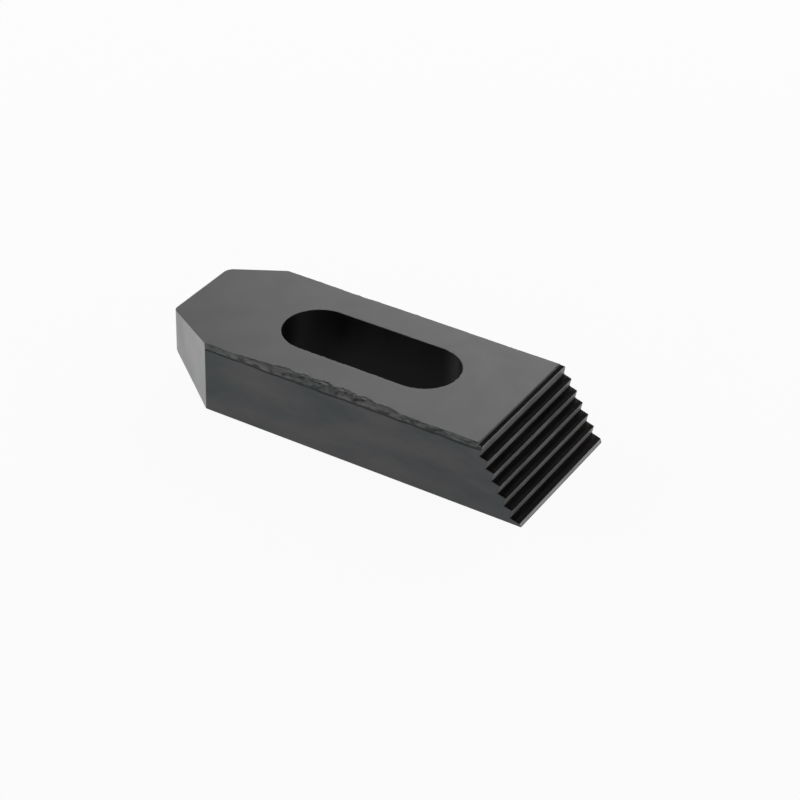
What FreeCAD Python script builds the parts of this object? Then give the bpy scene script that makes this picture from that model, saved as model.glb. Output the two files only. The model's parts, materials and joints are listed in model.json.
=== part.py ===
import FreeCAD, Part

import math
import os

import Sketcher

# A step clamp: one bar of steel, milled from bar stock.
# The frame is in millimetres, with +Z up and the origin in the middle of the clamp's underside.
# The bar runs along Y: its tapered nose is at +Y and its stepped end at -Y.
# It lies on its broad lower face, so the steps face up and out.

SIZES = {
    "bar_length": 76.25,
    "bar_width": 30.0,
    "bar_thickness": 14.0,
    # the rolled corners that the milled upper face leaves along the bar's two sides
    "corner_across": 0.85,
    "corner_down": 1.2,
    "lower_edge_radius": 0.3,
    # the nose: two corners cut off in plan, and a ramp as long as they are that thins it from below
    "nose_width": 17.0,
    "nose_taper_angle": 30.0,
    "nose_tip_thickness": 8.3,
    "nose_corner_radius": 0.9,
    # the slot for the clamping stud
    "slot_width": 14.0,
    "slot_length": 35.5,
    "slot_from_nose": 19.0,
    # the stepped end: a sloping face cut across by equal grooves, whose crests lie just under it
    "slope_angle": 58.0,
    "step_count": 7,
    "step_pitch": 2.43,
    "step_crest": 0.1,
    "step_root": 0.2,
    "step_sink": 0.15,
    "groove_angle": 90.0,
    # up the slope from its foot to the middle of the lowest groove
    "foot_to_step": 2.06,
    # how far a cutting outline runs past the steel
    "overrun": 5.0,
}

# how a sketch names its own axes and its origin
X_AXIS = -1
Y_AXIS = -2
ORIGIN = (-1, 1)

# lengths in millimetres below this count as nothing
SMALL = 1e-6


def make_sheet(doc):
    """Put the driving sizes in a sheet, one named cell each."""
    sheet = doc.addObject("Spreadsheet::Sheet", "Sizes")
    for row, (alias, value) in enumerate(SIZES.items(), start=1):
        sheet.set(f"A{row}", alias)
        sheet.set(f"B{row}", str(value))
        sheet.setAlias(f"B{row}", alias)
    doc.recompute()
    return sheet


def origin_plane(body, role):
    """Find one of the body's own origin planes."""
    return next(item for item in body.Origin.OriginFeatures if item.Role == role)


def add_sketch(body, name, role):
    """Start a sketch on one of the body's own origin planes."""
    sketch = body.newObject("Sketcher::SketchObject", name)
    sketch.AttachmentSupport = (origin_plane(body, role), "")
    sketch.MapMode = "FlatFace"
    return sketch


def hold(sketch, name, formula, kind, *places):
    """Add a named dimension that is bound to the sheet."""
    value = float(sketch.evalExpression(formula))
    index = sketch.addConstraint(Sketcher.Constraint(kind, *places, value))
    sketch.renameConstraint(index, name)
    sketch.setExpression(f"Constraints.{name}", formula)


def hold_point(sketch, point, label, across, up):
    """Hold a point at two distances from the sketch's origin."""
    for kind, axis, name, formula in (
        ("DistanceX", Y_AXIS, f"{label}_across", across),
        ("DistanceY", X_AXIS, f"{label}_up", up),
    ):
        if abs(float(sketch.evalExpression(formula))) < SMALL:
            sketch.addConstraint(Sketcher.Constraint("PointOnObject", *point, axis))
        else:
            hold(sketch, name, formula, kind, *ORIGIN, *point)


def draw_outline(sketch, corners):
    """Draw a closed outline of straight sides through named corners, given as formulas of the sheet."""
    places = {
        name: FreeCAD.Vector(
            float(sketch.evalExpression(across)), float(sketch.evalExpression(up)), 0
        )
        for name, (across, up) in corners.items()
    }
    names = list(corners)
    first = sketch.GeometryCount
    for name, after in zip(names, names[1:] + names[:1]):
        sketch.addGeometry(Part.LineSegment(places[name], places[after]), False)
    for step in range(len(names)):
        before = first + (step - 1) % len(names)
        sketch.addConstraint(
            Sketcher.Constraint("Coincident", before, 2, first + step, 1)
        )
    for step, (name, (across, up)) in enumerate(corners.items()):
        hold_point(sketch, (first + step, 1), name, across, up)


def pad(body, sketch, name, length):
    """Grow a solid from a sketch, half to each side of its plane."""
    feature = body.newObject("PartDesign::Pad", name)
    feature.Profile = sketch
    feature.setExpression("Length", length)
    feature.Midplane = True
    return feature


def cut_through(body, sketch, name):
    """Cut a sketch's outline right through the body, to both sides of its plane."""
    feature = body.newObject("PartDesign::Pocket", name)
    feature.Profile = sketch
    feature.Type = "ThroughAll"
    feature.Midplane = True
    return feature


def edges_where(shape, test):
    """Name the edges whose box passes a test."""
    edges = enumerate(shape.Edges, start=1)
    return [f"Edge{index}" for index, edge in edges if test(edge.BoundBox)]


def ease_edges(body, base, name, edges, radius):
    """Round some edges of the feature before."""
    feature = body.newObject("PartDesign::Fillet", name)
    feature.Base = (base, edges)
    feature.setExpression("Radius", radius)


def make_bar(body):
    """The bar stock: its section has bevelled upper corners, and runs the whole length."""
    sketch = add_sketch(body, "bar_section", "XZ_Plane")
    half = "Sizes.bar_width / 2"
    inner = "Sizes.bar_width / 2 - Sizes.corner_across"
    top = "Sizes.bar_thickness"
    side_top = "Sizes.bar_thickness - Sizes.corner_down"
    draw_outline(
        sketch,
        {
            "lower_left": (f"-({half})", "0"),
            "lower_right": (half, "0"),
            "side_right": (half, side_top),
            "top_right": (inner, top),
            "top_left": (f"-({inner})", top),
            "side_left": (f"-({half})", side_top),
        },
    )
    bar = pad(body, sketch, "bar", "Sizes.bar_length")
    body.Document.recompute()
    lower = edges_where(bar.Shape, lambda box: box.ZMax < SMALL and box.XLength < SMALL)
    ease_edges(body, bar, "lower_edges", lower, "Sizes.lower_edge_radius")


def make_nose(body):
    """The nose: a corner cut off one side and mirrored, its edges eased, and the ramp below."""
    sketch = add_sketch(body, "nose_corner_outline", "XY_Plane")
    tip = "Sizes.bar_length / 2"
    beyond = "Sizes.bar_length / 2 + Sizes.overrun"
    spread = "(Sizes.bar_width - Sizes.nose_width) / 2"
    heel = f"Sizes.bar_length / 2 - {spread} / tan(Sizes.nose_taper_angle * 1 deg)"
    draw_outline(
        sketch,
        {
            "tip": ("Sizes.nose_width / 2", tip),
            "heel": ("Sizes.bar_width / 2", heel),
            "outer_heel": ("Sizes.bar_width / 2 + Sizes.overrun", heel),
            "outer_tip": ("Sizes.bar_width / 2 + Sizes.overrun", beyond),
            "inner_tip": ("Sizes.nose_width / 2", beyond),
        },
    )
    corner = cut_through(body, sketch, "nose_corner")
    corners = body.newObject("PartDesign::Mirrored", "nose_corners")
    corners.Originals = [corner]
    corners.MirrorPlane = (origin_plane(body, "YZ_Plane"), [""])
    body.Tip = corners
    body.Document.recompute()

    front = corners.Shape.BoundBox.YMax
    upright = edges_where(
        corners.Shape, lambda box: box.XLength < SMALL and front - box.YMin < SMALL
    )
    ease_edges(body, corners, "nose_edges", upright, "Sizes.nose_corner_radius")

    sketch = add_sketch(body, "nose_ramp_outline", "YZ_Plane")
    draw_outline(
        sketch,
        {
            "start": (heel, "0"),
            "lip": (tip, "Sizes.bar_thickness - Sizes.nose_tip_thickness"),
            "outer_lip": (beyond, "Sizes.bar_thickness - Sizes.nose_tip_thickness"),
            "outer_start": (beyond, "-Sizes.overrun"),
            "inner_start": (heel, "-Sizes.overrun"),
        },
    )
    cut_through(body, sketch, "nose_ramp")


def make_slot(body):
    """The stud slot: two round ends joined by straight sides, cut straight through."""
    sketch = add_sketch(body, "slot_outline", "XY_Plane")
    end_radius = "Sizes.slot_width / 2"
    straight = "Sizes.slot_length - Sizes.slot_width"
    nose_end = f"Sizes.bar_length / 2 - Sizes.slot_from_nose - {end_radius}"
    radius = float(sketch.evalExpression(end_radius))
    far = FreeCAD.Vector(0, float(sketch.evalExpression(nose_end)), 0)
    near = far - FreeCAD.Vector(0, float(sketch.evalExpression(straight)), 0)
    side = FreeCAD.Vector(radius, 0, 0)
    up = FreeCAD.Vector(0, 0, 1)
    far_half = Part.ArcOfCircle(Part.Circle(far, up, radius), 0, math.pi)
    near_half = Part.ArcOfCircle(Part.Circle(near, up, radius), math.pi, 2 * math.pi)
    far_arc = sketch.addGeometry(far_half, False)
    near_arc = sketch.addGeometry(near_half, False)
    left = sketch.addGeometry(Part.LineSegment(far - side, near - side), False)
    right = sketch.addGeometry(Part.LineSegment(near + side, far + side), False)
    for constraint in (
        Sketcher.Constraint("Tangent", far_arc, 2, left, 1),
        Sketcher.Constraint("Tangent", left, 2, near_arc, 1),
        Sketcher.Constraint("Tangent", near_arc, 2, right, 1),
        Sketcher.Constraint("Tangent", right, 2, far_arc, 1),
        Sketcher.Constraint("Equal", far_arc, near_arc),
        Sketcher.Constraint("PointOnObject", far_arc, 3, Y_AXIS),
        Sketcher.Constraint("PointOnObject", near_arc, 3, Y_AXIS),
    ):
        sketch.addConstraint(constraint)
    centres = (near_arc, 3, far_arc, 3)
    hold(sketch, "end_radius", end_radius, "Radius", far_arc)
    hold(sketch, "straight_length", straight, "DistanceY", *centres)
    hold(sketch, "nose_end", nose_end, "DistanceY", *ORIGIN, far_arc, 3)
    cut_through(body, sketch, "stud_slot")


def make_steps(body):
    """The stepped end: a slope across the end, then one groove and its crest repeated up it."""
    sketch = add_sketch(body, "slope_outline", "YZ_Plane")
    foot = "-Sizes.bar_length / 2"
    run = "Sizes.bar_thickness / tan(Sizes.slope_angle * 1 deg)"
    over = "Sizes.bar_thickness + Sizes.overrun"
    draw_outline(
        sketch,
        {
            "foot": (foot, "0"),
            "head": (f"{foot} + {run}", "Sizes.bar_thickness"),
            "inner_head": (f"{foot} + {run}", over),
            "outer_head": (f"{foot} - Sizes.overrun", over),
            "outer_foot": (f"{foot} - Sizes.overrun", "0"),
        },
    )
    cut_through(body, sketch, "slope")

    # the groove's sketch is turned: its x axis runs up the slope, and its y axis points out
    sketch = add_sketch(body, "groove_outline", "YZ_Plane")
    sketch.setExpression(".AttachmentOffset.Base.x", foot)
    sketch.setExpression(".AttachmentOffset.Rotation.Angle", "Sizes.slope_angle * 1 deg")
    middle = "Sizes.foot_to_step"
    tangent = "tan(Sizes.groove_angle / 2 * 1 deg)"
    half_root = "Sizes.step_root / 2"
    half_mouth = "(Sizes.step_pitch - Sizes.step_crest) / 2"
    depth = f"(Sizes.step_sink + ({half_mouth} - {half_root}) / {tangent})"
    lower_over = f"({half_root} + ({depth} + Sizes.overrun) * {tangent})"
    crest_end = f"{middle} + {half_mouth} + Sizes.step_crest"
    draw_outline(
        sketch,
        {
            "lower_root": (f"{middle} - {half_root}", f"-{depth}"),
            "upper_root": (f"{middle} + {half_root}", f"-{depth}"),
            "crest_start": (f"{middle} + {half_mouth}", "-Sizes.step_sink"),
            "crest_end": (crest_end, "-Sizes.step_sink"),
            "upper_over": (crest_end, "Sizes.overrun"),
            "lower_over": (f"{middle} - {lower_over}", "Sizes.overrun"),
        },
    )
    groove = cut_through(body, sketch, "groove")
    steps = body.newObject("PartDesign::LinearPattern", "steps")
    steps.Originals = [groove]
    steps.Direction = (sketch, ["H_Axis"])
    steps.Mode = "Spacing"
    steps.setExpression("Offset", "Sizes.step_pitch")
    steps.setExpression("Occurrences", "Sizes.step_count")
    body.Tip = steps


def make_clamp(doc):
    """The whole clamp as one body, in the order in which it would be milled."""
    body = doc.addObject("PartDesign::Body", "step_clamp")
    body.Label = "step_clamp"
    make_bar(body)
    make_nose(body)
    make_slot(body)
    make_steps(body)
    doc.recompute()
    return body


def check(doc, body):
    """Stop if a feature failed, or if a cut took nothing away."""
    for item in doc.Objects:
        if "Invalid" in item.State or "Error" in item.State:
            raise RuntimeError(f"{item.Name} didn't build: {item.State}")
        if item.isDerivedFrom("Sketcher::SketchObject") and not item.FullyConstrained:
            raise RuntimeError(f"{item.Name} has a size that nothing holds")
    shape = body.Shape
    if shape.isNull() or not shape.isValid() or len(shape.Solids) != 1:
        raise RuntimeError("the clamp isn't one valid solid")
    volume = None
    for item in body.Group:
        if not item.isDerivedFrom("PartDesign::Feature"):
            continue
        print(f"{item.Name:16} {item.Shape.Volume:10.1f} mm3")
        if volume is not None and item.Shape.Volume >= volume:
            raise RuntimeError(f"{item.Name} took nothing away")
        volume = item.Shape.Volume


def main():
    doc = FreeCAD.newDocument("step_clamp")
    make_sheet(doc)
    body = make_clamp(doc)
    check(doc, body)
    os.makedirs("parts", exist_ok=True)
    body.Shape.exportStep(os.path.join("parts", f"{body.Label}.step"))


main()
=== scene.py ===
"""A step clamp, dressed: one bar of blackened steel with its milled, rolled and cut faces."""

import json
import logging
import math
from dataclasses import dataclass
from enum import Enum
from typing import Callable

import bmesh
import bpy
from mathutils import Matrix, Vector, noise


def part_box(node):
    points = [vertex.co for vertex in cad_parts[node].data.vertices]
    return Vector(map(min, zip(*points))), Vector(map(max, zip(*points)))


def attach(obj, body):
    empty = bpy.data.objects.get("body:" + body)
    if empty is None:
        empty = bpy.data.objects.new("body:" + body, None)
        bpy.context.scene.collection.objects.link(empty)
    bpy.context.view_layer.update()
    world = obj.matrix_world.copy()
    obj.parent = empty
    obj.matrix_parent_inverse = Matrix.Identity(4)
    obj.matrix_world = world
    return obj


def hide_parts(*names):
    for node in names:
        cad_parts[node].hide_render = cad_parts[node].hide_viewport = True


LOG = logging.getLogger("step_clamp")

MM = 0.001
TINY = 1e-6
NODE = "step_clamp"

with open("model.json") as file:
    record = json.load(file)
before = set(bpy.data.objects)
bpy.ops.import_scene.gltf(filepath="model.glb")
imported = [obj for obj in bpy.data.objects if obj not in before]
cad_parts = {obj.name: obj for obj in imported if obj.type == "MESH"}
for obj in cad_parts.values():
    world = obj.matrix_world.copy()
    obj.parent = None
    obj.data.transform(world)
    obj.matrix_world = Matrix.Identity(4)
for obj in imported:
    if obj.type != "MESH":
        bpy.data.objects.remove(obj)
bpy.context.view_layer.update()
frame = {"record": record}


def smooth(value: float, start: float, end: float) -> float:
    """Rise smoothly from 0 at start to 1 at end.

    Args:
        value: Where to read the rise.
        start: Where it leaves 0.
        end: Where it reaches 1.

    Returns:
        A share between 0 and 1.
    """
    share = min(max((value - start) / (end - start), 0.0), 1.0)
    return share * share * (3 - 2 * share)


def hump(value: float, middle: float, half: float) -> float:
    """Rise to 1 at the middle and fall back to 0 half a width either side."""
    return smooth(half - abs(value - middle), 0.0, half)


def uneven(point: Vector, size: float) -> float:
    """Give a value between about -1 and 1 that changes over a given length."""
    return noise.fractal(point / size, 1.0, 2.0, 3)


def apply(steel: bpy.types.Object, modifier: bpy.types.Modifier) -> None:
    """Make a modifier's result the mesh itself."""
    bpy.ops.object.select_all(action="DESELECT")
    bpy.context.view_layer.objects.active = steel
    steel.select_set(True)
    bpy.ops.object.modifier_apply(modifier=modifier.name)


class Bench:
    """One mesh that is being worked on, in edit mode, as by hand."""

    def __init__(self, steel: bpy.types.Object) -> None:
        """Take an object to the bench.

        Args:
            steel: The object to work on.
        """
        bpy.ops.object.select_all(action="DESELECT")
        bpy.context.view_layer.objects.active = steel
        steel.select_set(True)
        self.object = steel
        bpy.ops.object.mode_set(mode="EDIT")

    @classmethod
    def block(cls, name: str, size: Vector, centre: Vector) -> "Bench":
        """Put a fresh block on the bench.

        Args:
            name: What the object is called.
            size: The block's three sides, in metres.
            centre: Where its middle is.

        Returns:
            The bench, with the block on it.
        """
        bpy.ops.object.select_all(action="DESELECT")
        bpy.ops.mesh.primitive_cube_add(size=1.0, location=centre, scale=size)
        bpy.ops.object.transform_apply(location=True, rotation=True, scale=True)
        steel = bpy.context.view_layer.objects.active
        steel.name = name
        steel.data.name = name
        return cls(steel)

    def _mesh(self) -> bmesh.types.BMesh:
        """Give the mesh that edit mode holds."""
        return bmesh.from_edit_mesh(self.object.data)

    def pick_faces(self, test: Callable[[bmesh.types.BMFace], bool]) -> int:
        """Select the faces that pass a test, and nothing else.

        Args:
            test: Says whether a face is wanted.

        Returns:
            How many faces are selected.
        """
        bpy.ops.mesh.select_mode(type="FACE")
        bpy.ops.mesh.select_all(action="DESELECT")
        mesh = self._mesh()
        for face in mesh.faces:
            face.select_set(test(face))
        mesh.select_flush_mode()
        bmesh.update_edit_mesh(self.object.data)
        return sum(face.select for face in mesh.faces)

    def pick_edges(self, test: Callable[[Vector, Vector], bool]) -> int:
        """Select the edges whose two ends pass a test, and nothing else.

        Args:
            test: Says whether an edge between two points is wanted.

        Returns:
            How many edges are selected.
        """
        bpy.ops.mesh.select_mode(type="EDGE")
        bpy.ops.mesh.select_all(action="DESELECT")
        mesh = self._mesh()
        for edge in mesh.edges:
            edge.select_set(test(edge.verts[0].co, edge.verts[1].co))
        mesh.select_flush_mode()
        bmesh.update_edit_mesh(self.object.data)
        return sum(edge.select for edge in mesh.edges)

    def slice(self, point: Vector, normal: Vector) -> None:
        """Score the selected faces along a plane."""
        bpy.ops.mesh.bisect(plane_co=point, plane_no=normal, threshold=TINY / 10)

    def trim(self, point: Vector, outward: Vector) -> None:
        """Cut away all that lies beyond a plane, and close the cut."""
        bpy.ops.mesh.select_mode(type="FACE")
        bpy.ops.mesh.select_all(action="SELECT")
        bpy.ops.mesh.bisect(
            plane_co=point,
            plane_no=outward.normalized(),
            use_fill=True,
            clear_outer=True,
            threshold=TINY / 10,
        )

    def divide(self, cuts: int) -> None:
        """Divide the selected edges, and the faces between them, evenly."""
        bpy.ops.mesh.subdivide(number_cuts=cuts)

    def ease(self, reach: float, segments: int = 4) -> None:
        """Round the selected edges, so far to each side of them."""
        bpy.ops.mesh.bevel(offset_type="OFFSET", offset=reach, segments=segments, clamp_overlap=False)

    def shift(self, move: Vector) -> None:
        """Move what is selected."""
        bpy.ops.transform.translate(value=move)

    def done(self) -> bpy.types.Object:
        """Leave edit mode.

        Returns:
            The object.
        """
        bpy.ops.object.mode_set(mode="OBJECT")
        return self.object


@dataclass
class Press:
    """Presses part of a surface in or out. Lengths are in metres."""

    name: str
    reach: Callable[[Vector], float]
    depth: float
    along: Vector = None

    def strike(self, steel: bpy.types.Object) -> None:
        """Press the steel along a direction, or along its own surface's.

        Args:
            steel: The object to press.
        """
        group = steel.vertex_groups.new(name=self.name)
        for vertex in steel.data.vertices:
            share = self.reach(vertex.co)
            if share > 0:
                group.add([vertex.index], min(share, 1.0), "REPLACE")
        moves = {"NORMAL": self.depth}
        if self.along:
            moves = {axis: self.depth * part for axis, part in zip("XYZ", self.along) if part}
        for direction, depth in moves.items():
            modifier = steel.modifiers.new(self.name, "DISPLACE")
            modifier.vertex_group = self.name
            modifier.direction = direction
            modifier.strength = depth
            modifier.mid_level = 0.0
            apply(steel, modifier)
        steel.vertex_groups.remove(steel.vertex_groups[self.name])


class Wire:
    """One socket's value in a material, with the sums that the finishes need."""

    def __init__(self, wiring: "Wiring", socket: bpy.types.NodeSocket) -> None:
        """Hold a socket.

        Args:
            wiring: The material's nodes.
            socket: The output that gives the value.
        """
        self.wiring = wiring
        self.socket = socket

    def _sum(self, operation: str, first: "Wire | float", second: "Wire | float") -> "Wire":
        """Add one Math node."""
        node = self.wiring.add("ShaderNodeMath", {"operation": operation}, {0: first, 1: second})
        return Wire(self.wiring, node.outputs[0])

    def __add__(self, other: "Wire | float") -> "Wire":
        """Add."""
        return self._sum("ADD", self, other)

    def __radd__(self, other: float) -> "Wire":
        """Add to a number."""
        return self._sum("ADD", other, self)

    def __sub__(self, other: "Wire | float") -> "Wire":
        """Take away."""
        return self._sum("SUBTRACT", self, other)

    def __rsub__(self, other: float) -> "Wire":
        """Take away from a number."""
        return self._sum("SUBTRACT", other, self)

    def __mul__(self, other: "Wire | float") -> "Wire":
        """Multiply."""
        return self._sum("MULTIPLY", self, other)

    def __rmul__(self, other: float) -> "Wire":
        """Multiply a number."""
        return self._sum("MULTIPLY", other, self)

    def size(self) -> "Wire":
        """Drop the sign."""
        return self._sum("ABSOLUTE", self, 0.0)

    def rise(self, start: float, end: float) -> "Wire":
        """Rise smoothly from 0 at start to 1 at end."""
        node = self.wiring.add(
            "ShaderNodeMapRange",
            {"interpolation_type": "SMOOTHSTEP"},
            {"Value": self, "From Min": start, "From Max": end},
        )
        return Wire(self.wiring, node.outputs["Result"])


class Wiring:
    """The nodes of one material or world."""

    def __init__(self, tree: bpy.types.NodeTree) -> None:
        """Hold a node tree.

        Args:
            tree: The material's or the world's own tree.
        """
        self.tree = tree

    def add(self, kind: str, settings: dict[str, object], inputs: dict) -> bpy.types.Node:
        """Add a node.

        Args:
            kind: The node's type.
            settings: Its own settings, which come first.
            inputs: Values or wires for its sockets, by name or number.

        Returns:
            The node.
        """
        node = self.tree.nodes.new(kind)
        for name, setting in settings.items():
            setattr(node, name, setting)
        for name, given in inputs.items():
            if isinstance(given, Wire):
                self.tree.links.new(given.socket, node.inputs[name])
            else:
                node.inputs[name].default_value = given
        return node

    def place(self, stretch: tuple[float, float, float] = (1.0, 1.0, 1.0)) -> Wire:
        """Give the place on the object, stretched along its axes."""
        node = self.add("ShaderNodeTexCoord", {}, {})
        place = Wire(self, node.outputs["Object"])
        node = self.add("ShaderNodeMapping", {}, {"Vector": place, "Scale": stretch})
        return Wire(self, node.outputs["Vector"])

    def axes(self) -> list[Wire]:
        """Give the place on the object as three values, in metres."""
        node = self.add("ShaderNodeSeparateXYZ", {}, {"Vector": self.place()})
        return [Wire(self, output) for output in node.outputs]

    def cloud(self, place: Wire, size: float, detail: float = 2.0) -> Wire:
        """Give soft clouds of a size in metres, between 0 and 1."""
        node = self.add(
            "ShaderNodeTexNoise", {}, {"Vector": place, "Scale": 1 / size, "Detail": detail, "Roughness": 0.55}
        )
        return Wire(self, node.outputs["Fac"])

    def blend(self, share: Wire, first: tuple | Wire, second: tuple | Wire) -> Wire:
        """Go from one colour to another."""
        node = self.add(
            "ShaderNodeMix",
            {"data_type": "RGBA", "clamp_factor": True},
            {"Factor": share, 6: self._colour(first), 7: self._colour(second)},
        )
        return Wire(self, node.outputs[2])

    def _colour(self, colour: tuple | Wire) -> tuple | Wire:
        """Give a colour its alpha, if it is written out."""
        return colour if isinstance(colour, Wire) else (*colour, 1.0)


@dataclass(frozen=True)
class Oxide:
    """Black oxide on steel, as one kind of cut shows it, some with painted light or painted shade in the tone.
    Lengths are in metres.
    """

    name: str
    deep: tuple[float, float, float]
    pale: tuple[float, float, float]
    roughness: float
    stretch: tuple[float, float, float] = (1.0, 1.0, 1.0)
    patch: float = 7 * MM
    grain: float = 0.35 * MM
    grain_height: float = 0.006 * MM
    grain_tone: float = 0.25
    sheen: float = 0.5
    seam: float = 0.0
    # colour of the painted shade along the rolling seam's crease
    crease_shade_tone: tuple[float, float, float] = (0.006, 0.007, 0.007)
    scale_tone: tuple[float, float, float] = (0.13, 0.135, 0.13)

    def _tone(self, wiring: Wiring) -> Wire:
        """Lay out the colour: broad patches with a fine grain in them, and painted shade along the rolling
        seam's crease, with pale scale flecks above it.
        """
        patches = wiring.cloud(wiring.place(self.stretch), self.patch, 4.0)
        grain = wiring.cloud(wiring.place(self.stretch), self.grain * 2, 3.0)
        share = patches.rise(0.3, 0.7) + (grain - 0.5) * self.grain_tone
        tone = wiring.blend(share, self.deep, self.pale)
        if not self.seam:
            return tone
        wander = (wiring.cloud(wiring.place(), 4 * MM) - 0.5) * (0.5 * MM)
        height = wiring.axes()[2] + wander - self.seam
        flecks = wiring.cloud(wiring.place((1.0, 0.4, 1.0)), 0.7 * MM, 3.0)
        scaly = height.rise(0.1 * MM, 0.3 * MM) * flecks.rise(0.45, 0.6)
        tone = wiring.blend(scaly * 0.7, tone, self.scale_tone)
        # painted shade in patches just above the seam's crease, broken by the flecks
        crease_shade_patches = height.rise(0.0, 0.2 * MM) * (1 - flecks.rise(0.36, 0.46))
        tone = wiring.blend(crease_shade_patches * 0.8, tone, self.crease_shade_tone)
        # painted shade along the seam's crease itself
        line = (1 - height.size().rise(0.12 * MM, 0.3 * MM)) * (0.6 + flecks * 0.6)
        return wiring.blend(line, tone, self.crease_shade_tone)

    def make(self) -> bpy.types.Material:
        """Make the material.

        Returns:
            The material.
        """
        material = bpy.data.materials.new(self.name)
        material.use_nodes = True
        wiring = Wiring(material.node_tree)
        shader = material.node_tree.nodes["Principled BSDF"]
        shader.inputs["Specular IOR Level"].default_value = self.sheen
        grain = wiring.cloud(wiring.place(self.stretch), self.grain, 3.0)
        smudge = wiring.cloud(wiring.place(self.stretch), self.patch / 2, 3.0)
        roughness = (smudge - 0.5) * 0.15 + (grain - 0.5) * 0.1 + self.roughness
        bump = wiring.add("ShaderNodeBump", {}, {"Height": grain * self.grain_height, "Distance": 1.0})
        links = material.node_tree.links
        links.new(self._tone(wiring).socket, shader.inputs["Base Color"])
        links.new(roughness.socket, shader.inputs["Roughness"])
        links.new(bump.outputs["Normal"], shader.inputs["Normal"])
        return material


class Skin(Enum):
    """The skins that the steel has, by what made them; the treads, risers and slot walls are told apart by the
    painted light or painted shade that their tone carries.
    """

    MILLED = 0
    ROLLED = 1
    CUT = 2
    TREAD = 3
    RISER = 4
    SLOTTED = 5

    @property
    def oxide(self) -> Oxide:
        """Give the finish that goes with the skin."""
        return OXIDES[self]


OXIDES = {
    Skin.MILLED: Oxide("oxide_milled", (0.052, 0.052, 0.053), (0.068, 0.068, 0.069), 0.42),
    Skin.ROLLED: Oxide(
        "oxide_rolled",
        (0.046, 0.056, 0.057),
        (0.094, 0.089, 0.093),
        0.45,
        stretch=(1.0, 0.35, 1.0),
        sheen=0.25,
        # height of the rolling seam, whose crease gets painted shade
        seam=12.75 * MM,
    ),
    # cut faces: a lighter, freshly cut oxide, raised further with painted light for the light that the nose
    # taper catches
    Skin.CUT: Oxide("oxide_cut_and_painted_light", (0.215, 0.215, 0.217), (0.32, 0.32, 0.32), 0.4, stretch=(1.0, 1.0, 0.3)),
    # treads: near-black painted shade, standing in for the shadow that each step casts into its groove
    Skin.TREAD: Oxide(
        "oxide_tread_painted_shade",
        (0.001, 0.001, 0.001),
        (0.010, 0.008, 0.007),
        0.5,
        stretch=(0.06, 1.0, 1.0),
        patch=0.5 * MM,
        sheen=0.04,
    ),
    # risers: painted light, a lighter tone standing in for the light that the risers catch from the front
    Skin.RISER: Oxide("oxide_riser_painted_light", (0.10, 0.10, 0.102), (0.15, 0.15, 0.15), 0.4, sheen=0.2),
    # slot walls: near-black painted shade, standing in for the shade inside the slot
    Skin.SLOTTED: Oxide(
        "oxide_slot_painted_shade",
        (0.002, 0.002, 0.002),
        (0.006, 0.006, 0.006),
        0.4,
        stretch=(1.0, 1.0, 0.05),
        sheen=0.08,
    ),
}


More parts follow.
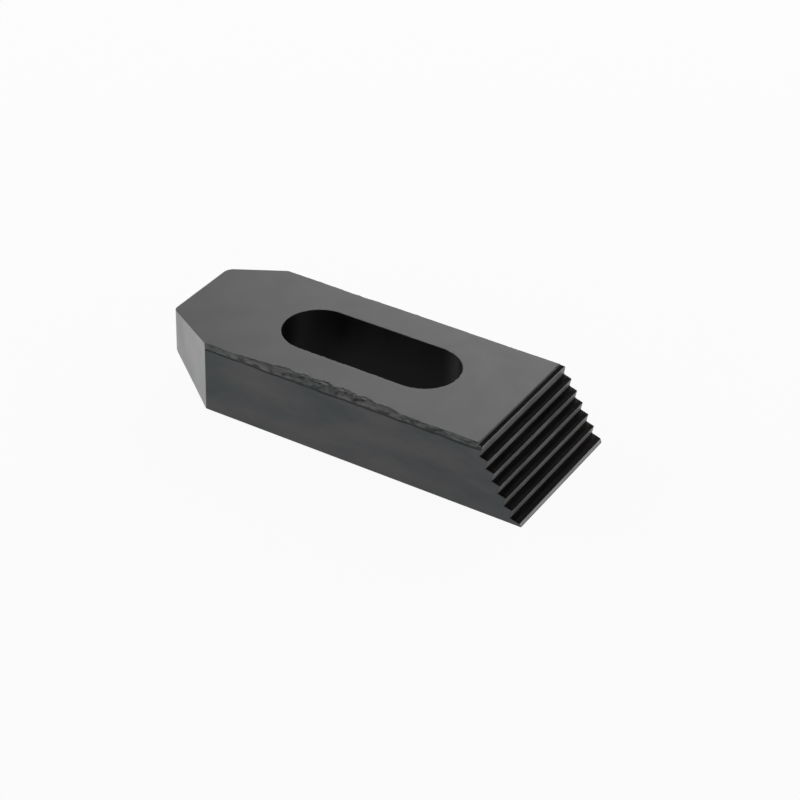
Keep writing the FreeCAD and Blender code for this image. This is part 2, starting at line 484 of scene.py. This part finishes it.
@dataclass
class RolledCorner:
    """One of the upper face's long corners, as rolling and milling left it. Lengths are in metres."""

    side: int
    edge: float
    top: float
    shoulder: float
    start: float
    end: float
    seed: float
    swell: tuple[tuple[float, float], ...]
    fall: float
    bite_pitch: float = 4.3 * MM
    bite_share: float = 0.55
    bite_depth: float = 1.0 * MM
    bite_wall: float = 0.12 * MM
    seam_depth: float = 0.13 * MM
    seam_half: float = 0.24 * MM
    scale_height: float = 0.07 * MM

    def fade(self, point: Vector) -> float:
        """Give 1 along the corner, and 0 at its two ends and beyond."""
        return smooth(point.y, self.start, self.start + MM / 2) * smooth(-point.y, -self.end, MM / 2 - self.end)

    def reach(self, y: float) -> float:
        """Say how far the rolled corner reaches into the upper face.

        Args:
            y: Where along the corner.

        Returns:
            The reach from the corner's own edge.
        """
        reach = 0.0
        for (y_0, reach_0), (y_1, reach_1) in zip(self.swell, self.swell[1:]):
            if y_0 <= y <= y_1:
                reach = reach_0 + (reach_1 - reach_0) * smooth(y, y_0, y_1)
        return reach

    def bite(self, y: float) -> float:
        """Say how far the rolled corner's ragged rim reaches into the upper face.

        Args:
            y: Where along the corner.

        Returns:
            The reach from the corner's own edge.
        """
        wander = uneven(Vector((self.seed, y, 0)), 3 * MM) * 0.25
        turn = (y / self.bite_pitch + wander) % 1.0
        scallop = math.sqrt(max(1 - (2 * turn - 1) ** 2, 0.0))
        nibble = 1 + uneven(Vector((self.seed, 0, y)), 0.5 * MM) * 0.3
        return self.reach(y) * (1 - self.bite_share + self.bite_share * scallop) * nibble

    def bitten(self, point: Vector) -> float:
        """Say how deep the rolled corner lies below the milled face, as a share."""
        if point.x * self.side < self.edge - 3 * MM or point.z < self.shoulder:
            return 0.0
        inward = max(self.edge - point.x * self.side, 0.0)
        past = self.bite(point.y) - inward
        wall = smooth(past, 0.0, self.bite_wall) * self.bite_wall / self.bite_depth
        slope = max(self.reach(point.y) * (1 - self.bite_share) - inward, 0.0) * self.fall / self.bite_depth
        down = min((self.top - point.z) / (self.top - self.shoulder), 1.0)
        return (wall + slope) * (1 - down) * self.fade(point)

    def seam(self, point: Vector) -> float:
        """Say how deep the seam at the corner's foot is, as a share."""
        if point.x * self.side < self.edge:
            return 0.0
        wander = uneven(Vector((self.seed, point.y, 9)), 2.5 * MM) * 0.08 * MM
        worn = 0.7 + 0.5 * uneven(Vector((9, point.y, self.seed)), 0.9 * MM)
        return hump(point.z, self.shoulder + wander, self.seam_half) * worn * self.fade(point)

    def scale(self, point: Vector) -> float:
        """Say how high the scale stands on the rolled skin, as a share."""
        outside = point.x * self.side > self.edge - TINY and point.z > self.shoulder - 0.1 * MM
        if not outside and self.bitten(point) <= 0:
            return 0.0
        coarse = uneven(Vector((point.x, point.y / 2, point.z)), 0.55 * MM)
        return max(0.5 + coarse, 0.0) * self.fade(point)

    def weather(self, steel: bpy.types.Object) -> None:
        """Press the corner's bites, its seam and its scale into the steel.

        Args:
            steel: The bar, with the corner's faces finely divided.
        """
        name = "near" if self.side < 0 else "far"
        Press(f"{name}_scale", self.scale, self.scale_height).strike(steel)
        Press(f"{name}_bites", self.bitten, -self.bite_depth, Vector((0, 0, 1))).strike(steel)
        Press(f"{name}_seam", self.seam, -self.seam_depth).strike(steel)


@dataclass
class ClampBar:
    """The clamp's one piece of steel. Lengths are in metres."""

    low: Vector
    high: Vector
    slot_centre: Vector
    slot_radius: float
    slot_length: float
    near_across: float = 0.12 * MM
    corner_across: float = 0.85 * MM
    corner_down: float = 1.2 * MM
    lower_rounding: float = 0.06 * MM
    nose_width: float = 17 * MM
    nose_angle: float = math.radians(30)
    nose_tip: float = 8.3 * MM
    heel_rounding: float = 0.15 * MM
    tip_roundings: tuple[float, float] = (0.8 * MM, 1.2 * MM)
    slope_angle: float = math.radians(58)
    step_count: int = 7
    step_pitch: float = 2.43 * MM
    step_crest: float = 0.1 * MM
    step_root: float = 0.2 * MM
    step_sink: float = 0.15 * MM
    step_rounding: float = 0.15 * MM
    step_end_rounding: float = 0.35 * MM
    foot_rounding: float = 0.4 * MM
    foot_to_step: float = 2.06 * MM
    top_step_rise: float = 0.325 * MM
    top_step_out: float = 0.15 * MM
    mouth_run: float = 0.28 * MM
    tool_line: float = 0.05 * MM
    tool_line_half: float = 0.07
    tip_rounding: float = 0.3 * MM
    flare: float = 0.4 * MM
    flare_run: float = 0.8 * MM
    flare_foot: float = 1.5 * MM
    slot_facets: int = 36
    slot_stations: int = 71
    step_stations: int = 99
    tip_stations: int = 3
    strip_width: float = 2.1 * MM
    strip_row: float = 0.13 * MM
    strip_stations: tuple[int, int] = (24, 14)
    crease: float = math.radians(28)
    eased: float = 0.1 * MM
    widest: float = 0.4 * MM
    crest_depth: float = 0.06 * MM
    line_depth: float = 0.05 * MM
    burr_height: float = 0.14 * MM
    smooth_angle: float = math.radians(35)

    def __post_init__(self) -> None:
        """Work out the places and directions that the cuts are laid out by."""
        self.up_slope = Vector((0, math.cos(self.slope_angle), math.sin(self.slope_angle)))
        self.off_slope = Vector((0, -self.up_slope.z, self.up_slope.y))
        self.riser_out = (self.off_slope - self.up_slope).normalized()
        self.foot = Vector((0, self.low.y, self.low.z))
        self.head = (self.high.z - self.low.z) / self.up_slope.z
        self.depth = self.step_sink + (self.step_pitch - self.step_crest - self.step_root) / 2
        self.spread = self.high.x - self.nose_width / 2
        self.heel = self.high.y - self.spread / math.tan(self.nose_angle)
        self.shoulder = self.high.z - self.corner_down
        self.edge = self.high.x - self.corner_across
        self.edges = {-1: self.high.x - self.near_across, 1: self.edge}
        self.mouth = self.step_corners()[-1].y

    def on_slope(self, along: float, out: float = 0.0) -> Vector:
        """Give a point on the middle line of the stepped end.

        Args:
            along: How far up the slope from its foot.
            out: How far out of the slope.

        Returns:
            The point.
        """
        return self.foot + self.up_slope * along + self.off_slope * out

    def step_corners(self) -> list[Vector]:
        """List the corners of the steps' section, from the lowest step up.

        Returns:
            Six corners to a step: its crest, a tool line's three along the middle of its tread, and
            its groove's two roots. The last corner is where the highest groove comes out in the
            upper face.
        """
        corners = []
        half_root = self.step_root / 2
        mouth = self.on_slope(self.head) + Vector((0, self.mouth_run, 0))
        into = (self.up_slope - self.off_slope) / 2
        out_of = (self.up_slope + self.off_slope) / 2
        for step in range(self.step_count):
            middle = self.foot_to_step + step * self.step_pitch
            crest = self.on_slope(middle - self.step_pitch / 2, self.step_crest / 2 - self.step_sink)
            roots = [self.on_slope(middle + half, -self.depth) for half in (-half_root, half_root)]
            if step == 0:
                crest = self.on_slope(middle - half_root - self.depth)
            if step == self.step_count - 1:
                crest += self.up_slope * self.top_step_rise + self.off_slope * self.top_step_out
                root = crest + into * (mouth - crest).dot(into) * 2
                roots = [root - into * half_root, root + out_of * half_root]
            corners.append(crest)
            corners.append(crest.lerp(roots[0], 0.5 - self.tool_line_half))
            corners.append(crest.lerp(roots[0], 0.5) + out_of.normalized() * self.tool_line)
            corners.append(crest.lerp(roots[0], 0.5 + self.tool_line_half))
            corners.extend(roots)
        corners.append(mouth)
        return corners

    def cut_steps(self, bench: Bench) -> None:
        """Cut the slope across the end, score it, and press its grooves in line by line."""
        bench.trim(self.foot, self.off_slope)
        bench.pick_edges(lambda a, b: (a - self.foot).yz.length < TINY and (b - self.foot).yz.length < TINY)
        bench.ease(self.foot_rounding, 6)
        corners = self.step_corners()
        top = self.on_slope(self.head)
        below = corners[:-4]
        above = corners[-4:]
        seats = [self.on_slope((corner - self.foot).dot(self.up_slope)) for corner in below]
        for seat in seats:
            bench.pick_faces(lambda face: face.normal.dot(self.off_slope) > 0.99)
            bench.slice(seat, self.up_slope)
        # the highest groove starts at the slope's upper edge and takes its other corners from the
        # upper face
        upper = [top.lerp(corners[-1], share / 3) for share in range(4)]
        for seat in upper[1:]:
            bench.pick_faces(lambda face: face.normal.z > 0.99)
            bench.slice(seat, Vector((0, 1, 0)))
        for seat, corner in zip(seats + upper, below + above):
            bench.pick_edges(lambda a, b: (a - seat).yz.length < TINY and (b - seat).yz.length < TINY)
            bench.shift(corner - seat)

    def round_underside(self, bench: Bench) -> None:
        """Round the block's two lower long edges."""
        bench.pick_edges(lambda a, b: abs(a.y - b.y) > TINY and max(a.z, b.z) < TINY)
        bench.ease(self.lower_rounding)

    def cut_corners(self, bench: Bench) -> None:
        """Leave the bar's rolled corners along the upper face's two sides."""
        for side, edge in self.edges.items():
            shoulder = Vector((side * self.high.x, 0, self.shoulder))
            bench.trim(shoulder, Vector((side * self.corner_down, 0, self.high.x - edge)))

    def cut_nose(self, bench: Bench) -> None:
        """Cut the nose's two corners off, round what that leaves, and ramp it from below."""
        for side in (-1, 1):
            tip = Vector((side * self.nose_width / 2, self.high.y, 0))
            out = Vector((side * math.cos(self.nose_angle), math.sin(self.nose_angle), 0))
            bench.trim(tip, out)
            flat = out.dot(tip)
            bench.pick_edges(
                lambda a, b: self.on_upright(a, b, out, flat) and min(a.y, b.y) < self.high.y - TINY
            )
            bench.ease(self.heel_rounding, 6)
            bench.pick_edges(
                lambda a, b: self.on_upright(a, b, out, flat) and min(a.y, b.y) > self.high.y - TINY
            )
            bench.ease(self.tip_roundings[side > 0], 6)
        lift = self.high.z - self.low.z - self.nose_tip
        start = Vector((0, self.heel, self.low.z))
        bench.trim(start, Vector((0, lift, self.heel - self.high.y)))

    def on_upright(self, a: Vector, b: Vector, out: Vector, flat: float) -> bool:
        """Say whether an edge stands between a cut corner of the nose and the face beside it."""
        return abs(out.dot(a) - flat) < TINY and abs(out.dot(b) - flat) < TINY and abs(a.z - b.z) > TINY

    def mill_slot(self, steel: bpy.types.Object) -> None:
        """Mill the stud slot right through.

        Args:
            steel: The bar so far.
        """
        deep = (self.high.z - self.low.z) * 2
        size = Vector((self.slot_radius * 2, self.slot_length, deep))
        middle = Vector((self.slot_centre.x, self.slot_centre.y, self.high.z / 2))
        bench = Bench.block("slot_cutter", size, middle)
        bench.pick_edges(lambda a, b: (a - b).xy.length < TINY)
        bpy.ops.mesh.bevel(offset=self.slot_radius, segments=self.slot_facets)
        bpy.ops.mesh.select_all(action="SELECT")
        bpy.ops.mesh.remove_doubles(threshold=TINY)
        bench.pick_edges(lambda a, b: abs(a.y - b.y) > self.slot_radius)
        bench.divide(self.slot_stations)
        cutter = bench.done()
        modifier = steel.modifiers.new("stud_slot", "BOOLEAN")
        modifier.object = cutter
        modifier.solver = "EXACT"
        apply(steel, modifier)
        bpy.data.objects.remove(cutter)

    def on_slot(self, point: Vector) -> bool:
        """Say whether a point lies on the slot's wall."""
        past = abs(point.y - self.slot_centre.y) - (self.slot_length / 2 - self.slot_radius)
        return abs(math.hypot(point.x, max(past, 0)) - self.slot_radius) < 0.02 * MM

    def rounding(self, edge: bmesh.types.BMEdge) -> float:
        """Say how far an edge's rounding reaches to each side of it.

        Args:
            edge: An edge of the bar with all its cuts.

        Returns:
            The reach, or 0 where the edge is left alone.
        """
        if edge.calc_face_angle_signed(0.0) < self.crease:
            return 0.0
        a, b = (vertex.co for vertex in edge.verts)
        middle = (a + b) / 2
        if (middle - self.foot).yz.length < 2 * self.foot_rounding and abs(middle.x) > self.edge:
            return self.lower_rounding
        along = (middle - self.foot).dot(self.up_slope)
        below_top_step = along < self.foot_to_step + (self.step_count - 1.6) * self.step_pitch
        if abs(a.x - b.x) < MM and middle.y < self.mouth + MM / 10 and not below_top_step:
            return 0.0
        if abs(middle.x + self.high.x) < TINY and middle.y < self.mouth:
            return self.step_end_rounding
        if (middle - Vector((0, self.heel, self.low.z))).yz.length < 2.5 * MM:
            return 0.0
        if middle.y < self.mouth - TINY and abs(a.x - b.x) > self.high.x and middle.z > TINY:
            at_crest = (middle - self.foot).dot(self.off_slope) > -self.step_sink - TINY
            return self.step_rounding if at_crest else 0.0
        return self.eased

    def ease_edges(self, steel: bpy.types.Object) -> None:
        """Round every edge that is still sharp by its own reach.

        Args:
            steel: The bar with all its cuts.
        """
        mesh = bmesh.new()
        mesh.from_mesh(steel.data)
        share = mesh.edges.layers.float.new("bevel_weight_edge")
        for edge in mesh.edges:
            edge[share] = self.rounding(edge) / self.widest
        mesh.to_mesh(steel.data)
        mesh.free()
        modifier = steel.modifiers.new("eased_edges", "BEVEL")
        modifier.width = self.widest
        modifier.segments = 4
        modifier.limit_method = "WEIGHT"
        modifier.use_clamp_overlap = False
        apply(steel, modifier)

    def name_faces(self, steel: bpy.types.Object) -> None:
        """Give every face the finish that its cut left, with painted shade on the treads and slot walls,
        painted light on the risers, and partly painted light on the cut faces.

        Args:
            steel: The bar, before its faces are divided.
        """
        for face in steel.data.polygons:
            corners = [steel.data.vertices[index].co for index in face.vertices]
            if max(corner.y for corner in corners) < self.mouth + self.eased / 2:
                # by facing: risers take the painted light tone, the other groove faces the painted shade tone
                on_riser = face.normal.dot(self.riser_out) > 0.8
                face.material_index = (Skin.RISER if on_riser else Skin.TREAD).value
                if min((corner - self.foot).dot(self.off_slope) for corner in corners) > -TINY * 20:
                    face.material_index = Skin.CUT.value
            if min(corner.y for corner in corners) > self.heel - self.heel_rounding - TINY:
                face.material_index = Skin.CUT.value
            if abs(face.normal.z) > 0.7 and face.center.y > self.mouth:
                face.material_index = Skin.MILLED.value
            elif abs(face.normal.x) > 0.7 and abs(face.center.x) > self.edge and face.center.y < self.heel:
                face.material_index = Skin.ROLLED.value
            elif all(self.on_slot(corner) for corner in corners):
                face.material_index = Skin.SLOTTED.value

    def divide_steps(self, bench: Bench) -> None:
        """Divide the stepped end across, most finely at its two sides, and score the far side."""
        for share in (0, 1):
            seat = self.on_slope(0, -self.depth - self.eased - self.flare_foot * share)
            bench.pick_faces(lambda face: face.normal.x > 0.99)
            bench.slice(seat, self.off_slope)
        bench.pick_edges(lambda a, b: abs(a.x - b.x) > self.edge * 1.9 and max(a.y, b.y) < self.mouth + MM / 5)
        bench.divide(self.step_stations)
        bench.pick_edges(
            lambda a, b: abs(a.x - b.x) > self.widest
            and min(abs(a.x), abs(b.x)) > self.edge
            and max(a.y, b.y) < self.mouth + MM / 5
        )
        bench.divide(self.tip_stations)

    def divide_strip(self, bench: Bench, side: int) -> None:
        """Divide the faces along one rolled corner into a fine grid.

        Args:
            bench: The bench that holds the bar.
            side: -1 for the corner at -X, 1 for the one at +X.
        """
        edge = self.edges[side]
        inner = edge - self.strip_width
        lower = self.shoulder - self.strip_width / 2

        def on_strip(face: bmesh.types.BMFace, start: float = -1.0, end: float = 1.0) -> bool:
            """Say whether a face lies along the corner, between two places."""
            return all(
                vert.co.x * side > inner - TINY and vert.co.z > lower - TINY and start < vert.co.y < end
                for vert in face.verts
            )

        start = self.mouth + MM / 3
        end = self.heel - MM / 3
        across = Vector((1, 0, 0))
        bench.pick_faces(lambda face: face.normal.z > 0.99 and face.calc_center_median().z > self.shoulder)
        bench.slice(across * side * inner, across)
        bench.pick_faces(lambda face: face.normal.x * side > 0.99 and face.calc_center_median().y < self.heel)
        bench.slice(Vector((0, 0, lower)), Vector((0, 0, 1)))
        for place in (start, end):
            bench.pick_faces(on_strip)
            bench.slice(Vector((0, place, 0)), Vector((0, 1, 0)))
        brink = Vector((side * edge, 0, self.high.z))
        shoulder = Vector((side * self.high.x, 0, self.shoulder))
        rows = (
            (Vector((side * inner, 0, self.high.z)), brink),
            (brink, shoulder),
            (shoulder, Vector((side * self.high.x, 0, lower))),
        )
        for first, last in rows:
            step = last - first
            count = math.ceil(step.length / self.strip_row)
            facing = Vector((-step.z, 0, step.x)).normalized() * side
            for row in range(1, count):
                bench.pick_faces(
                    lambda face: on_strip(face, start - TINY, end + TINY) and face.normal.dot(facing) > 0.999
                )
                bench.slice(first + step * row / count, step)
        for cuts in self.strip_stations:
            bench.pick_edges(
                lambda a, b: min(a.x * side, b.x * side) > inner - TINY
                and min(a.z, b.z) > lower - TINY
                and min(a.y, b.y) > start - TINY
                and max(a.y, b.y) < end + TINY
                and abs(a.y - b.y) > self.strip_width / 2
            )
            bench.divide(cuts)

    def crest_wear(self, point: Vector) -> float:
        """Say how much of a crest has worn away, as a share."""
        if point.y > self.mouth or abs(point.x) > self.high.x - self.eased:
            return 0.0
        out = (point - self.foot).dot(self.off_slope) + self.step_sink
        height = smooth(out, -self.depth / 3, 0.0) * smooth(point.z, 0.3 * MM, 2 * MM)
        return height * max(0.4 + uneven(Vector((point.x, point.y * 5, 0)), 1.1 * MM), 0.0)

    def tip_wear(self, point: Vector) -> float:
        """Say how far a step's end is rounded off at the bar's far side, as a share."""
        past = point.x - self.high.x + self.tip_rounding
        if point.y > self.mouth or past <= 0:
            return 0.0
        out = (point - self.foot).dot(self.off_slope) + self.depth
        height = smooth(out, 0.0, self.depth - self.step_sink) * smooth(point.z, 0.3 * MM, 2 * MM)
        return height * (1 - math.sqrt(max(1 - (past / self.tip_rounding) ** 2, 0.0)))

    def flared(self, point: Vector) -> float:
        """Say how far the cutter has pushed a step's end out of the bar's far side, as a share."""
        if point.x < self.high.x - self.flare_run:
            return 0.0
        out = (point - self.foot).dot(self.off_slope) + self.depth + self.eased
        height = smooth(out, -self.flare_foot, 0.0) * smooth(point.z, 0.0, MM)
        height *= smooth(self.mouth + self.flare_run - point.y, 0.0, self.flare_run)
        return height * smooth(point.x, self.high.x - self.flare_run, self.high.x)

    def line_wear(self, point: Vector) -> float:
        """Say how uneven a tread's tool line is at a point, as a share."""
        if point.y > self.mouth or abs(point.x) > self.high.x - self.eased:
            return 0.0
        out = (point - self.foot).dot(self.off_slope) + self.depth
        middle = (self.depth - self.step_sink) / 2
        return hump(out, middle, self.depth / 5) * max(uneven(point * 2, 1.5 * MM) + 0.2, 0.0)

    def burr(self, point: Vector) -> float:
        """Say how high a burr stands on the slot's upper rim, as a share."""
        if point.z < self.high.z - self.eased:
            return 0.0
        past = abs(point.y - self.slot_centre.y) - (self.slot_length / 2 - self.slot_radius)
        off = abs(math.hypot(point.x, max(past, 0)) - self.slot_radius)
        rough = uneven(Vector((point.x * 2, point.y, 0)), 1.2 * MM)
        return hump(off, self.eased / 2, self.eased / 2) * max(rough - 0.1, 0.0) * 2

    def rolled_corners(self) -> list[RolledCorner]:
        """Describe the upper face's two long corners."""
        swells = {
            -1: ((-29, 0.02), (-14, 0.1), (-11, 0.7), (-5, 1.1), (0, 1.4), (6, 1.3), (11, 1.2), (16, 0.5), (21, 0.08), (27, 0.02)),
            1: ((-29, 0.05), (-20, 0.15), (-12, 0.1), (0, 0.05), (8, 0.12), (14, 0.2), (19, 0.1), (27, 0.05)),
        }
        return [
            RolledCorner(
                side=side,
                edge=self.edges[side],
                fall=0.75 if side < 0 else 0.2,
                top=self.high.z,
                shoulder=self.shoulder,
                start=self.mouth + MM / 3,
                end=self.heel - MM / 3,
                seed=3.7 * side,
                swell=tuple((y * MM, reach * MM) for y, reach in swell),
            )
            for side, swell in swells.items()
        ]

    def weather(self, steel: bpy.types.Object) -> None:
        """Press in what rolling, cutting and use have left.

        Args:
            steel: The bar, finely divided.
        """
        inward = -self.off_slope
        Press("tip_wear", self.tip_wear, self.tip_rounding, inward).strike(steel)
        Press("crest_wear", self.crest_wear, self.crest_depth, inward).strike(steel)
        Press("line_wear", self.line_wear, self.line_depth).strike(steel)
        Press("burr", self.burr, self.burr_height).strike(steel)
        for corner in self.rolled_corners():
            corner.weather(steel)
        for vertex in steel.data.vertices:
            for axis in range(3):
                vertex.co[axis] = min(max(vertex.co[axis], self.low[axis]), self.high[axis])
        Press("flare", self.flared, self.flare, Vector((1, 0, 0))).strike(steel)
        for face in steel.data.polygons:
            sunk = self.high.z - face.center.z
            if face.material_index == Skin.MILLED.value and TINY * 12 < sunk < 2 * MM:
                if abs(face.center.x) > self.edge - self.strip_width and sunk > 0.05 * MM:
                    face.material_index = Skin.ROLLED.value

    def build(self) -> bpy.types.Object:
        """Make the bar.

        Returns:
            The finished object.
        """
        bench = Bench.block(NODE + "_steel", self.high - self.low, (self.high + self.low) / 2)
        self.round_underside(bench)
        self.cut_steps(bench)
        self.cut_corners(bench)
        self.cut_nose(bench)
        steel = bench.done()
        self.mill_slot(steel)
        self.ease_edges(steel)
        self.name_faces(steel)
        bench = Bench(steel)
        self.divide_steps(bench)
        for side in (-1, 1):
            self.divide_strip(bench, side)
        bench.done()
        self.weather(steel)
        bpy.ops.object.shade_smooth_by_angle(angle=self.smooth_angle)
        weighted = steel.modifiers.new("weighted_normals", "WEIGHTED_NORMAL")
        weighted.keep_sharp = True
        apply(steel, weighted)
        LOG.info("steel bar: %d faces", len(steel.data.polygons))
        return steel


@dataclass(frozen=True)
class Softbox:
    """One soft lamp, by where it stands as seen from the object. Lengths are in metres."""

    name: str
    azimuth: float
    elevation: float
    size: float
    radiance: float
    distance: float = 0.6

    def build(self, aim: Vector) -> None:
        """Hang the lamp and point it at the object.

        Args:
            aim: What it points at.
        """
        lamp = bpy.data.lights.new(self.name, "AREA")
        lamp.shape = "SQUARE"
        lamp.size = self.size
        lamp.energy = self.radiance * math.pi * self.size**2
        stand = bpy.data.objects.new(self.name, lamp)
        away = Vector(
            (
                math.cos(self.azimuth) * math.cos(self.elevation),
                math.sin(self.azimuth) * math.cos(self.elevation),
                math.sin(self.elevation),
            )
        )
        stand.matrix_world = Matrix.Translation(aim + away * self.distance) @ away.to_track_quat("Z", "Y").to_matrix().to_4x4()
        bpy.context.scene.collection.objects.link(stand)


@dataclass
class Studio:
    """The floor, the lamps and the camera."""

    aim: Vector = Vector((2.241, -3.621, 3.487)) * MM
    azimuth: float = math.radians(-59.87)
    elevation: float = math.radians(34.06)
    roll: float = math.radians(1.85)
    distance: float = 422.1 * MM
    lens: float = 105.53
    horizon: float = 1.0
    zenith: float = 0.1
    softboxes: tuple[Softbox, ...] = (
        Softbox("key", math.radians(12), math.radians(27), 0.5, 1.75),
        Softbox("nose_fill", math.radians(100), math.radians(15), 0.4, 2.5),
        Softbox("step_fill", math.radians(-80), math.radians(12), 0.3, 1.0),
    )

    def place_camera(self) -> None:
        """Put the camera where the object is seen from."""
        back = Vector(
            (
                math.sin(self.azimuth) * math.cos(self.elevation),
                -math.cos(self.azimuth) * math.cos(self.elevation),
                math.sin(self.elevation),
            )
        )
        camera = bpy.data.objects.new("camera", bpy.data.cameras.new("camera"))
        turn = back.to_track_quat("Z", "Y") @ Matrix.Rotation(self.roll, 3, "Z").to_quaternion()
        camera.matrix_world = Matrix.Translation(self.aim + back * self.distance) @ turn.to_matrix().to_4x4()
        camera.data.lens = self.lens
        camera.data.clip_start = 10 * MM
        bpy.context.scene.collection.objects.link(camera)
        bpy.context.scene.camera = camera

    def lay_floor(self) -> None:
        """Lay a sheet of white paper, which shows white and keeps the object's shadow."""
        bpy.ops.object.select_all(action="DESELECT")
        bpy.ops.mesh.primitive_plane_add(size=4.0, location=(0, 0, 0))
        floor = bpy.context.view_layer.objects.active
        floor.name = "floor"
        paper = bpy.data.materials.new("paper")
        paper.use_nodes = True
        wiring = Wiring(paper.node_tree)
        shader = paper.node_tree.nodes["Principled BSDF"]
        shader.inputs["Base Color"].default_value = (0.9, 0.9, 0.9, 1)
        shader.inputs["Roughness"].default_value = 0.9
        shader.inputs["Specular IOR Level"].default_value = 0.0
        path = wiring.add("ShaderNodeLightPath", {}, {})
        seen = Wire(wiring, path.outputs["Is Camera Ray"]) + Wire(wiring, path.outputs["Is Glossy Ray"])
        glow = wiring.add("ShaderNodeEmission", {}, {"Color": (1.0, 1.0, 1.0, 1.0), "Strength": 1.0})
        mix = wiring.add(
            "ShaderNodeMixShader",
            {},
            {0: seen * 0.93, 1: Wire(wiring, shader.outputs[0]), 2: Wire(wiring, glow.outputs[0])},
        )
        output = paper.node_tree.nodes["Material Output"]
        paper.node_tree.links.new(mix.outputs[0], output.inputs["Surface"])
        floor.data.materials.append(paper)

    def light_world(self) -> None:
        """Light the room: pale round about, and darker overhead."""
        world = bpy.data.worlds.new("world")
        bpy.context.scene.world = world
        world.use_nodes = True
        wiring = Wiring(world.node_tree)
        coords = wiring.add("ShaderNodeTexCoord", {}, {})
        split = wiring.add("ShaderNodeSeparateXYZ", {}, {"Vector": Wire(wiring, coords.outputs["Generated"])})
        height = Wire(wiring, split.outputs["Z"]).rise(0.3, 0.75)
        strength = self.horizon - height * (self.horizon - self.zenith)
        background = world.node_tree.nodes["Background"]
        background.inputs["Color"].default_value = (1, 1, 1, 1)
        world.node_tree.links.new(strength.socket, background.inputs["Strength"])

    def build(self) -> None:
        """Set the studio up."""
        self.place_camera()
        self.lay_floor()
        self.light_world()
        for softbox in self.softboxes:
            softbox.build(self.aim)
        bpy.context.scene.view_settings.view_transform = "Standard"


def main() -> None:
    """Build everything in order."""
    logging.basicConfig(level=logging.INFO, format="%(name)s: %(message)s")
    low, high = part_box(NODE)
    slot = next(mount for mount in frame["record"]["mounts"] if mount["name"] == "stud_slot")
    bar = ClampBar(
        low=low,
        high=high,
        slot_centre=Vector(slot["pos_m"]),
        slot_radius=slot["dims"]["hole_r_mm"] * MM,
        slot_length=slot["dims"]["slot_length_mm"] * MM,
    )
    steel = bar.build()
    for skin in Skin:
        steel.data.materials.append(skin.oxide.make())
    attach(steel, "root")
    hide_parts(NODE)
    Studio().build()


if __name__ == "__main__":
    main()
